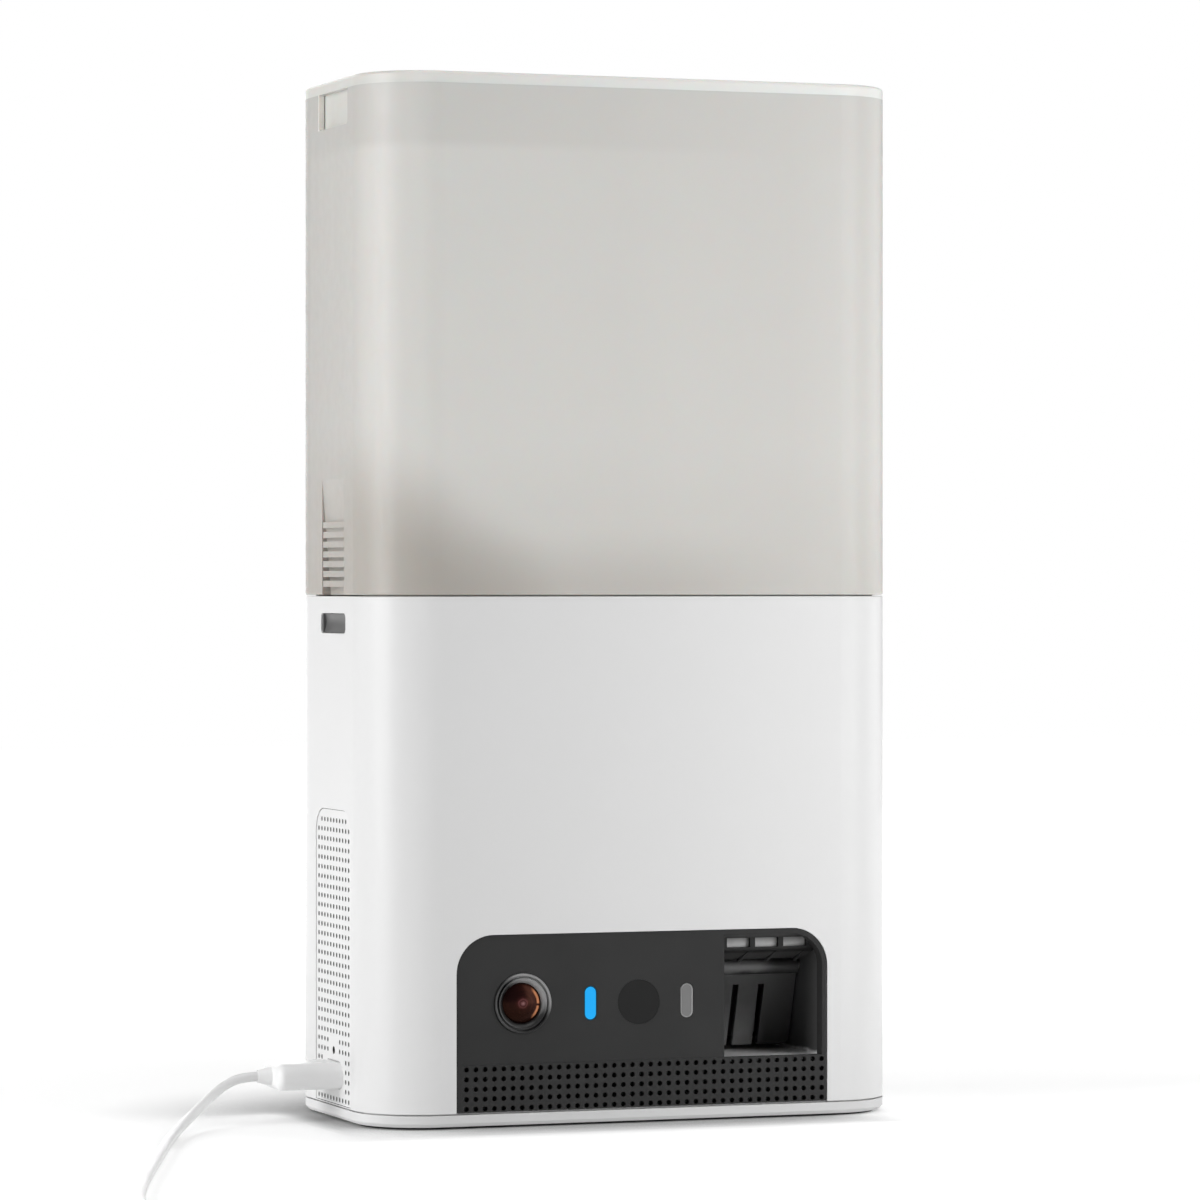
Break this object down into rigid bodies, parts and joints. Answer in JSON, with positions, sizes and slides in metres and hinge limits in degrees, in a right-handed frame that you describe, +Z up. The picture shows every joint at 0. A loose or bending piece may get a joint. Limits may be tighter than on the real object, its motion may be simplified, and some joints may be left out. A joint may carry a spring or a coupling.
{
  "type": "treat tossing pet camera",
  "caption": "Free-standing pet camera with a treat reservoir on top, and a feeder and launcher inside that throws treats out of its front mouth.",
  "frame": {"origin": "middle of the body's base, on the surface that it stands on", "axes": "+X to the right seen from the front, +Y from the front to the back, +Z up"},
  "size_m": [0.2538, 0.3483, 0.27],
  "materials": {
    "white_shell": "satin, smooth",
    "white_grille": "satin, perforated",
    "grey_base": "satin light grey",
    "rubber_foot": "matt sheet",
    "charcoal_panel": "matt charcoal",
    "lens_black": "gloss black",
    "lens_glass": "coated, clear",
    "blue_light": "light guide, lit blue",
    "grey_window": "light guide, unlit",
    "pale_strip": "light grey, satin",
    "dark_window": "dark, infrared passes",
    "circuit_board": "green board with parts",
    "black_plastic": "matt black",
    "steel": "bright steel",
    "grey_plastic": "matt grey",
    "white_gear": "natural acetal",
    "rotor_brown": "matt warm grey",
    "frosted_plastic": "frosted, translucent warm grey",
    "lid_plastic": "frosted off-white",
    "seal_silicone": "matt silicone",
    "white_cord": "white, satin"
  },
  "bodies": {
    "base": {"rubber_foot": "rubber_foot", "base_plate": "grey_base", "housing": "white_shell", "front_panel": "charcoal_panel", "speaker_grille": "charcoal_panel", "side_grille": "white_grille", "lens_ring": "lens_black", "lens_tube": "lens_black", "lens_glass": "lens_glass", "camera_board": "circuit_board", "status_light": "blue_light", "sensor_window": "grey_window", "infrared_window": "dark_window", "indicator_board": "circuit_board", "speaker": "black_plastic", "main_board": "circuit_board", "power_board": "circuit_board", "usb_socket": "steel", "reset_switch": "black_plastic", "launch_chamber": "black_plastic", "mouth_hood": "black_plastic", "hood_strip": "pale_strip", "drop_chute": "grey_plastic", "flap_pin": "steel", "flap_spring": "steel", "paddle_spring": "steel", "launch_motor": "steel", "top_deck": "grey_plastic", "feeder_motor": "steel", "button_spring_left": "steel", "button_spring_right": "steel", "base_screws": "steel", "deck_screws": "steel", "usb_plug": "white_cord", "power_cable": "white_cord", "cable_coil": "white_cord", "cable_tie": "white_cord", "cable_tail": "white_cord", "end_plug": "white_cord"},
    "reset_button": {"reset_button": "grey_plastic"},
    "exit_flap": {"exit_flap": "black_plastic"},
    "launch_paddle": {"launch_paddle": "grey_plastic", "paddle_shaft": "steel", "paddle_gear": "white_gear"},
    "launch_drive": {"drive_gear": "white_gear", "drive_shaft": "steel"},
    "feeder_drive": {"feeder_shaft": "steel", "drive_dog": "white_gear"},
    "reservoir": {"reservoir": "frosted_plastic", "reservoir_base": "frosted_plastic", "hopper_floor": "rotor_brown", "outlet_guard": "rotor_brown"},
    "feeder_rotor": {"feeder_rotor": "rotor_brown"},
    "lid": {"lid": "lid_plastic", "lid_seal": "seal_silicone"},
    "release_button_left": {"release_button_left": "grey_plastic"},
    "release_button_right": {"release_button_right": "grey_plastic"}
  },
  "joints": [
    {"name": "reservoir_lift", "type": "slide", "parent": "base", "child": "reservoir", "axis": [0, 0, 1], "range_m": [0, 0.06]},
    {"name": "lid_lift", "type": "slide", "parent": "reservoir", "child": "lid", "axis": [0, 0, 1], "range_m": [0, 0.04]},
    {"name": "rotor_spin", "type": "hinge", "parent": "reservoir", "child": "feeder_rotor", "pos_m": [0.01783, 0, 0.148], "axis": [0, 0, 1], "continuous": true},
    {"name": "feeder_spin", "type": "hinge", "parent": "base", "child": "feeder_drive", "pos_m": [0.01783, 0, 0.125], "axis": [0, 0, 1], "continuous": true},
    {"name": "paddle_swing", "type": "hinge", "parent": "base", "child": "launch_paddle", "pos_m": [0.036, 0.00953, 0.041], "axis": [1, 0, 0], "range_deg": [0, 55], "stiffness_Nm_per_rad": 0.01, "springref_deg": -11.46, "deforming": ["paddle_spring"]},
    {"name": "launch_drive_turn", "type": "hinge", "parent": "base", "child": "launch_drive", "pos_m": [0.0565, 0.01903, 0.0684], "axis": [1, 0, 0], "range_deg": [-60, 1]},
    {"name": "flap_swing", "type": "hinge", "parent": "base", "child": "exit_flap", "pos_m": [0.036, -0.02047, 0.0384], "axis": [1, 0, 0], "range_deg": [-95, 0], "stiffness_Nm_per_rad": 0.0012, "springref_deg": 17.19, "deforming": ["flap_spring"]},
    {"name": "release_left_press", "type": "slide", "parent": "base", "child": "release_button_left", "axis": [1, 0, 0], "range_m": [0, 0.0025], "stiffness_N_per_m": 900, "springref_m": -0.0015, "deforming": ["button_spring_left"]},
    {"name": "release_right_press", "type": "slide", "parent": "base", "child": "release_button_right", "axis": [-1, 0, 0], "range_m": [0, 0.0025], "stiffness_N_per_m": 900, "springref_m": -0.0015, "deforming": ["button_spring_right"]},
    {"name": "reset_press", "type": "slide", "parent": "base", "child": "reset_button", "axis": [1, 0, 0], "range_m": [0, 0.0003], "stiffness_N_per_m": 3000, "springref_m": -0.0002}
  ],
  "couplings": [
    {"joint": "feeder_spin", "follows": "rotor_spin", "ratio": 1},
    {"joint": "launch_drive_turn", "follows": "paddle_swing", "ratio": -1.0714}
  ]
}
